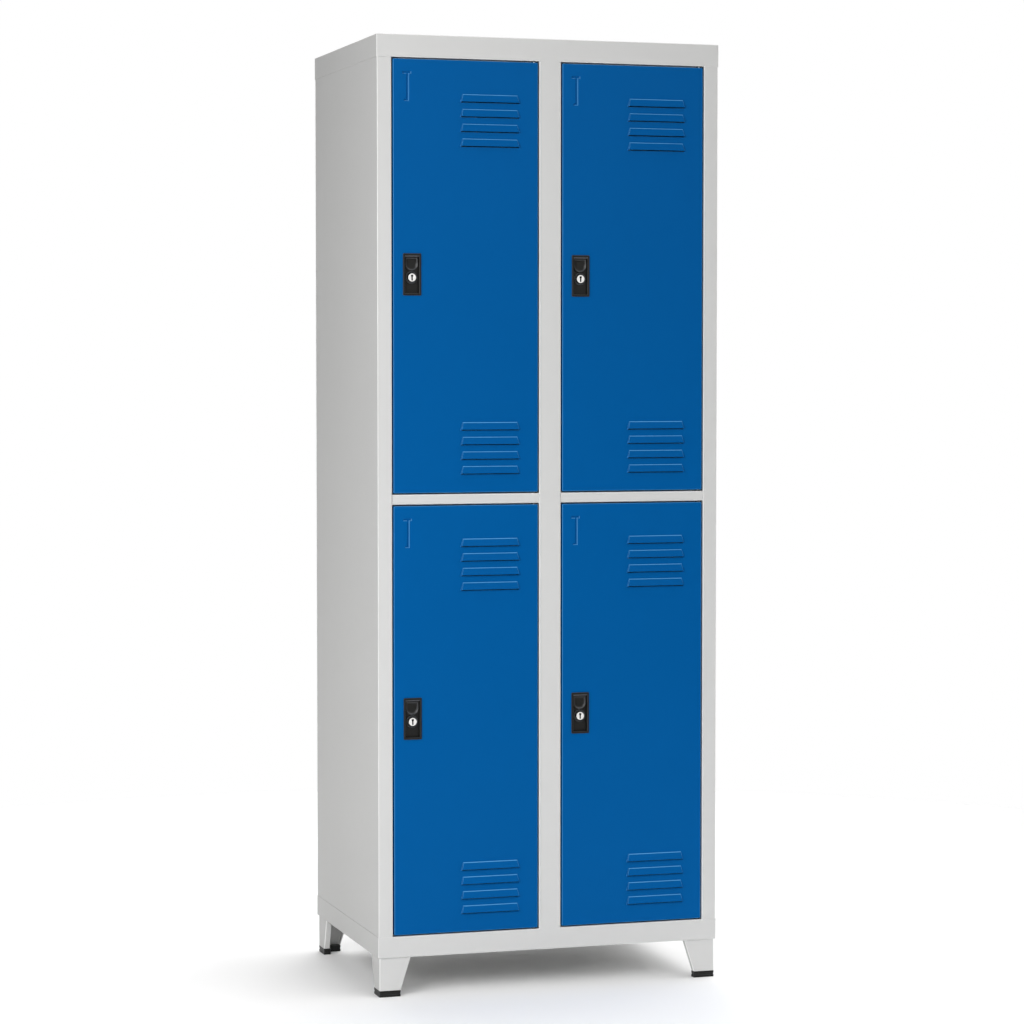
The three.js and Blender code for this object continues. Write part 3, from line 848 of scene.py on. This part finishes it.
BOSS = 11.9 * MM
BOSS_RISE, BOSS_ROOT = 2.6 * MM, 1 * MM
BOSS_CREST, BOSS_EASE, BOSS_DRAFT = 1.2 * MM, 0.5 * MM, 0.2 * MM
BOSS_MOUTH = 1.4 * MM

CYLINDER = 9 * MM
PLUG = 8.2 * MM
PLUG_EDGE = 0.6 * MM
PLUG_ROUNDING = (0.15 * MM, 0.18 * MM)  # a point on the rounded edge: in from the side, back from the face
SPINDLE = 4 * MM
SPINDLE_HEAD, HEAD_DRAFT, HEAD_EASE = 2 * MM, 0.2 * MM, 0.5 * MM
KEY_HALF, KEY_HEAD_HALF = 1.4 * MM, 2.2 * MM
KEY_FOOT, KEY_NECK, KEY_TOP = -5.6 * MM, 1.8 * MM, 5.4 * MM
KEY_BEVEL, KEY_BEVEL_DEPTH, KEY_DRAFT = 0.12 * MM, 0.15 * MM, 0.02 * MM

CAM_CORNER = 2.5 * MM
CAM_EASE = 0.25 * MM


def lock_axis(tier, column):
    """Where the cylinder's axis meets its face, and the depth of its back end."""
    low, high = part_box(f"lock_cylinder_{tier}_{column}")
    return Vector(((low.x + high.x) / 2, low.y, (low.z + high.z) / 2)), high.y


def finger_scoop(sides, foot, top, floor):
    """Raised U-shaped rim round a hollow for the finger, standing on the recess floor."""
    bm = bmesh.new()
    left, right = sides
    corners = [(left, top), (right, top), (right, foot), (left, foot)]
    outline = bm.faces.new([bm.verts.new((x, floor + SCOOP_ROOT, z)) for x, z in corners])
    bottom = [v for v in outline.verts if v.co.z < foot + TOUCH]
    bmesh.ops.bevel(
        bm, geom=bottom, offset=(right - left) / 2 - GAP, affect="VERTICES", segments=12, profile=0.5,
        material=-1)
    raised = bmesh.ops.extrude_face_region(bm, geom=bm.faces[:])["geom"]
    bmesh.ops.translate(bm, verts=verts_of(raised), vec=-Y * (SCOOP_RISE + SCOOP_ROOT))
    bmesh.ops.recalc_face_normals(bm, faces=bm.faces)
    face = pick(bm.faces, lambda c: c.y < floor - SCOOP_RISE + TOUCH)
    for width, depth in SCOOP_STEPS:
        step_in(bm, face, width * MM, -depth * MM)
    rim = [e for e in creases(bm, 60) if middle(e).y < floor - SCOOP_RISE + TOUCH]
    soften(bm, rim, SCOOP_EASE, 2)
    return bm


def make_lock_housing(tier, column):
    """Black surround: rounded frame, sloped lip, finger scoop, and a boss round the cylinder."""
    node = f"lock_housing_{tier}_{column}"
    low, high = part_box(node)
    centre = (low + high) / 2
    face = low.y
    bm = block(low, Vector((high.x, body_front, high.z)))
    back = pick(bm.faces, lambda c: c.y > body_front - TOUCH)
    inset = (high.x - low.x - HOUSING_BODY[0]) / 2
    step_in(bm, back, inset)
    shrink = HOUSING_BODY[1] / (high.z - low.z - 2 * inset)
    bmesh.ops.scale(bm, verts=back[0].verts[:], vec=(1, 1, shrink), space=Matrix.Translation(-centre))
    step_in(bm, back, BODY_DRAFT, high.y - body_front)

    front = pick(bm.faces, lambda c: c.y < face + TOUCH)
    step_in(bm, front, BEZEL_FRAME)
    frame_inner = front[0].edges[:]
    step_in(bm, front, FRAME_DRAFT, -LIP_DEPTH)
    inner_top = max(v.co.z for v in front[0].verts)
    lip = [v for v in front[0].verts if v.co.z > inner_top - TOUCH]
    bmesh.ops.translate(bm, verts=lip, vec=-Z * LIP_HEIGHT)
    lip_foot = [e for e in front[0].edges if all(v in lip for v in e.verts)]
    step_in(bm, front, RECESS_DRAFT, LIP_DEPTH - RECESS_DEPTH)
    floor_top = max(v.co.z for v in front[0].verts)
    outer = [e for e in bm.edges if into_depth(e)
             and all(abs(abs(v.co.x - centre.x) - (high.x - low.x) / 2) < TOUCH for v in e.verts)]
    inner_loop = set(frame_inner)
    soften(bm, outer, BEZEL_CORNER, 4)
    outer_loop = [e for e in bm.edges if all(v.co.y < face + TOUCH for v in e.verts) and e not in inner_loop
                  and len(e.link_faces) == 2 and e.calc_face_angle() > math.radians(60)]
    soften(bm, outer_loop, BEZEL_OUTER_EASE)
    soften(bm, [e for e in inner_loop if e.is_valid], BEZEL_INNER_EASE)
    soften(bm, [e for e in lip_foot if e.is_valid], LIP_EASE, 2)

    axis, _ = lock_axis(tier, column)
    floor = face + RECESS_DEPTH
    scoop = finger_scoop(
        (centre.x - SCOOP_HALF, centre.x + SCOOP_HALF), axis.z + SCOOP_FOOT, floor_top - GAP, floor)
    bore = CYLINDER + GAP
    boss = turned(
        [(bore, BOSS_ROOT), (bore, -BOSS_MOUTH), (BOSS - BOSS_CREST, -BOSS_RISE),
         (BOSS - BOSS_EASE, -BOSS_RISE), (BOSS, BOSS_EASE - BOSS_RISE), (BOSS + BOSS_DRAFT, BOSS_ROOT)],
        Vector((axis.x, floor, axis.z)), Y, 48, ring=True)
    piece(put_together(bm, scoop, boss), f"lock_surround_{tier}_{column}", f"door_{tier}_{column}",
          "black_plastic", [node])


def make_lock_cylinder(tier, column):
    """Key plug with a keyhole, on a spindle whose head holds the cam."""
    node = f"lock_cylinder_{tier}_{column}"
    axis, back = lock_axis(tier, column)
    cam_low, cam_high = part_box(f"lock_cam_{tier}_{column}")
    bm = bmesh.new()
    place = Matrix.Translation(axis) @ Matrix.Rotation(math.radians(90), 4, "X")
    radius, depth = PLUG - PLUG_EDGE, axis.y
    bmesh.ops.create_circle(bm, cap_ends=True, segments=64, radius=radius, matrix=place)
    rim = bm.edges[:]
    round_in, round_back = PLUG_ROUNDING
    head = SPINDLE + SPINDLE_HEAD
    stations = [
        (PLUG - round_in, axis.y + round_back), (PLUG, axis.y + PLUG_EDGE), (PLUG, axis.y + KEYWAY_DEPTH),
        (CYLINDER, axis.y + KEYWAY_DEPTH + PLUG_EDGE), (CYLINDER, cam_low.y - GAP),
        (SPINDLE, cam_low.y - GAP), (SPINDLE, cam_high.y + GAP), (head - HEAD_DRAFT, cam_high.y + GAP),
        (head, back - HEAD_EASE), (head - HEAD_EASE, back)]
    for next_radius, next_depth in stations:
        rim = draw_out(bm, rim, Y * (next_depth - depth))
        bmesh.ops.scale(bm, verts=list({v for e in rim for v in e.verts}), space=Matrix.Translation(-axis),
                        vec=(next_radius / radius, 1, next_radius / radius))
        radius, depth = next_radius, next_depth
    bmesh.ops.edgeloop_fill(bm, edges=rim)
    on_face = lambda c: abs(c.y - axis.y) < TOUCH
    for x in (-KEY_HEAD_HALF, -KEY_HALF, KEY_HALF, KEY_HEAD_HALF):
        slit(bm, pick(bm.faces, on_face), axis + X * x, X)
    for z in (KEY_FOOT, KEY_NECK, KEY_TOP):
        slit(bm, pick(bm.faces, lambda c: on_face(c) and abs(c.x - axis.x) < KEY_HEAD_HALF), axis + Z * z, Z)

    def in_keyway(c):
        across, up = abs(c.x - axis.x), c.z - axis.z
        half, foot = (KEY_HEAD_HALF, KEY_NECK) if up > KEY_NECK else (KEY_HALF, KEY_FOOT)
        return on_face(c) and across < half and foot < up < KEY_TOP

    bmesh.ops.recalc_face_normals(bm, faces=bm.faces)
    step_in(bm, pick(bm.faces, in_keyway), KEY_BEVEL, -KEY_BEVEL_DEPTH)
    floor = pick(bm.faces, lambda c: abs(c.y - axis.y - KEY_BEVEL_DEPTH) < TOUCH)
    step_in(bm, floor, KEY_DRAFT, -KEYWAY_DEPTH)
    piece(bm, f"lock_plug_{tier}_{column}", f"lock_{tier}_{column}", "nickel_plated_lock", [node], 30)


def make_lock_cam(tier, column):
    """Flat cam with a round end on the spindle."""
    node = f"lock_cam_{tier}_{column}"
    low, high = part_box(node)
    bm = block(low, high)
    corners = [e for e in bm.edges if into_depth(e)]
    half = (high.x - low.x) / 2
    soften(bm, [e for e in corners if middle(e).z > high.z - TOUCH], half - 2 * TOUCH, 8)
    soften(bm, [e for e in corners if e.is_valid and middle(e).z < low.z + TOUCH], CAM_CORNER, 4)
    soften(bm, creases(bm, SHARP), CAM_EASE, 2)
    piece(bm, f"lock_tongue_{tier}_{column}", f"lock_{tier}_{column}", "zinc_plated_steel", [node])


# ---- hinge pins, bushes and coat hooks -----------------------------------------------------

PIN = 3 * MM
PIN_HEAD = (4.5 * MM, 4 * MM)
BUSH_COLLAR = 0.9 * MM
BUSH_BORE, BUSH, BUSH_FLANGE = 3.3 * MM, 4 * MM, (5.5 * MM, 1.2 * MM)
EASE = 0.3 * MM

HOOK_PLATE, HOOK_STEEL, HOOK_HALF = 2 * MM, 3 * MM, 6 * MM
# depth and height of the prong's path from the top of the plate's front, in millimetres
HOOK_PATH = ((1, -34), (-4, -34), (-16, -42), (-26, -39), (-30, -26))
HOOK_TIP_DROP, HOOK_TIP_RISE = 30 * MM, 2 * MM
HOOK_CORNER, HOOK_EASE = 4 * MM, 0.5 * MM
SCREW_DROPS = (10 * MM, 50 * MM)
# radius and height of the turned outline, in millimetres
SCREW_HEAD = ((0, 0.5), (4, 0.5), (4, -0.6), (3.2, -1.5), (1.7, -2), (1.5, -0.9), (0, -0.9))


def make_hinge(tier, column, end):
    """Headed pin in the door's edge and the flanged bush that it turns in."""
    up = 1 if end == "top" else -1
    low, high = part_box(f"hinge_pin_{end}_{tier}_{column}")
    centre = Vector(((low.x + high.x) / 2, (low.y + high.y) / 2, low.z if up > 0 else high.z))
    length = high.z - low.z
    head, head_height = PIN_HEAD
    pin = turned(
        [(0, 0), (head - EASE, 0), (head, EASE), (head, head_height - EASE), (head - EASE, head_height),
         (PIN, head_height), (PIN, length - 2 * EASE), (PIN - 2 * EASE, length), (0, length)],
        centre, Z * up, 24)
    piece(pin, f"pivot_pin_{end}_{tier}_{column}", f"door_{tier}_{column}", "zinc_plated_steel",
          [f"hinge_pin_{end}_{tier}_{column}"])
    low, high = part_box(f"hinge_bush_{end}_{tier}_{column}")
    centre.z = low.z if up > 0 else high.z
    centre.z -= up * BUSH_COLLAR
    depth = high.z - low.z + BUSH_COLLAR
    flange, flange_height = BUSH_FLANGE
    flange_height += BUSH_COLLAR
    bush = turned(
        [(BUSH_BORE + EASE, 0), (flange - EASE, 0), (flange, EASE), (flange, flange_height),
         (BUSH, flange_height), (BUSH, depth - EASE), (BUSH - EASE / 2, depth), (BUSH_BORE, depth),
         (BUSH_BORE, EASE)],
        centre, Z * up, 24, ring=True)
    piece(bush, f"pivot_bush_{end}_{tier}_{column}", "carcass", "nylon",
          [f"hinge_bush_{end}_{tier}_{column}"])


def make_coat_hook(tier, column):
    """Back plate with two screws, and one prong bent forwards and up."""
    node = f"coat_hook_{tier}_{column}"
    low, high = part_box(node)
    plate_front = high.y - HOOK_PLATE
    plate = block(Vector((low.x, plate_front, low.z)), high)
    soften(plate, [e for e in plate.edges if into_depth(e)], HOOK_CORNER, 4)
    soften(plate, creases(plate, SHARP), HOOK_EASE, 2)
    top, x = high.z, (low.x + high.x) / 2
    path = [(plate_front + y * MM, top + z * MM) for y, z in HOOK_PATH]
    prong = strip(path, "x", x - HOOK_HALF, 2 * HOOK_HALF)
    soften(prong, creases(prong, 20), HOOK_CORNER, 5)
    bmesh.ops.solidify(prong, geom=prong.faces[:], thickness=HOOK_STEEL)

    def at_tip(edge):
        along = edge.verts[0].co - edge.verts[1].co
        return middle(edge).z > top - HOOK_TIP_DROP and abs(along.x) < TOUCH and abs(along.z) < HOOK_TIP_RISE

    soften(prong, [e for e in creases(prong, SHARP) if at_tip(e)], HOOK_CORNER, 4)
    soften(prong, creases(prong, 60), HOOK_EASE, 2)
    head = [(radius * MM, height * MM) for radius, height in SCREW_HEAD]
    screws = [turned(head, Vector((x, plate_front, top - fall)), Y, 20) for fall in SCREW_DROPS]
    piece(put_together(plate, prong, *screws), f"wall_hook_{tier}_{column}", "carcass",
          "zinc_plated_steel", [node])


# ---- light, floor and camera ---------------------------------------------------------------

CAMERA_PLACE = Vector((-1.8408, -5.886, 1.2235))
CAMERA_YAW, CAMERA_PITCH = 17.357, -2.745
CAMERA_LENS, CAMERA_SENSOR = 106.53, 36


def make_camera():
    data = bpy.data.cameras.new("camera")
    data.lens, data.sensor_width = CAMERA_LENS, CAMERA_SENSOR
    camera = bpy.data.objects.new("camera", data)
    camera.location = CAMERA_PLACE
    camera.rotation_euler = (math.radians(90 + CAMERA_PITCH), 0, math.radians(-CAMERA_YAW))
    scene.collection.objects.link(camera)
    scene.camera = camera


def make_studio_floor():
    bm = bmesh.new()
    bmesh.ops.create_circle(bm, cap_ends=True, segments=96, radius=STUDIO_FLOOR)
    mesh = bpy.data.meshes.new("studio_floor")
    bm.to_mesh(mesh)
    bm.free()
    floor = bpy.data.objects.new("studio_floor", mesh)
    scene.collection.objects.link(floor)
    finish = Finish("floor_white", (0.95, 0.95, 0.95), 0.7, specular_ior_level=0.1)
    mesh.materials.append(finish.material)


def make_surroundings():
    """A plain white view, which lights the cabinet from above on its right and from behind."""
    world = bpy.data.worlds.new("studio")
    scene.world = world
    world.use_nodes = True
    sky = Nodes(world.node_tree, "Background")
    towards = sky.node("ShaderNodeTexCoord", {}, {}, "Generated")
    parts = [sky.node("ShaderNodeSeparateXYZ", {}, {"Vector": towards}, axis) for axis in "XYZ"]
    right, behind, up = (part.maths("MAXIMUM", part, 0.0) for part in parts)
    glow = SKY_RIGHT * right * up * up + SKY_BEHIND * behind * up
    seen = sky.node("ShaderNodeLightPath", {}, {}, "Is Camera Ray")
    sky.set("Color", (1, 1, 1, 1))
    sky.set("Strength", glow * (1 - seen) + seen)


def make_lamp(name, place, size, power):
    """A soft box aimed at the middle of the cabinet."""
    lamp = bpy.data.lights.new(name, "AREA")
    lamp.shape = "RECTANGLE"
    lamp.size, lamp.size_y = size
    lamp.energy = power
    holder = bpy.data.objects.new(name, lamp)
    scene.collection.objects.link(holder)
    holder.location = place
    holder.rotation_euler = (Vector(LAMP_AIM) - Vector(place)).to_track_quat("-Z", "Y").to_euler()
    holder.visible_camera = False


make_top_cap()
make_base_tray()
make_back_panel()
make_centre_post()
make_centre_partition()
for corner in CORNERS:
    make_leg(corner)
    make_foot(corner)
for column in COLUMNS:
    make_side_panel(column)
    make_shelf(column)
    make_floor(column)
    for tier in TIERS:
        make_door(tier, column)
        make_stiffener(tier, column)
        make_lock_housing(tier, column)
        make_lock_cylinder(tier, column)
        make_lock_cam(tier, column)
        make_hinge(tier, column, "top")
        make_hinge(tier, column, "bottom")
        make_coat_hook(tier, column)
make_camera()
make_studio_floor()
make_surroundings()
for name, place, size, power in LAMPS:
    make_lamp(name, place, size, power)
scene.view_settings.view_transform = "Standard"
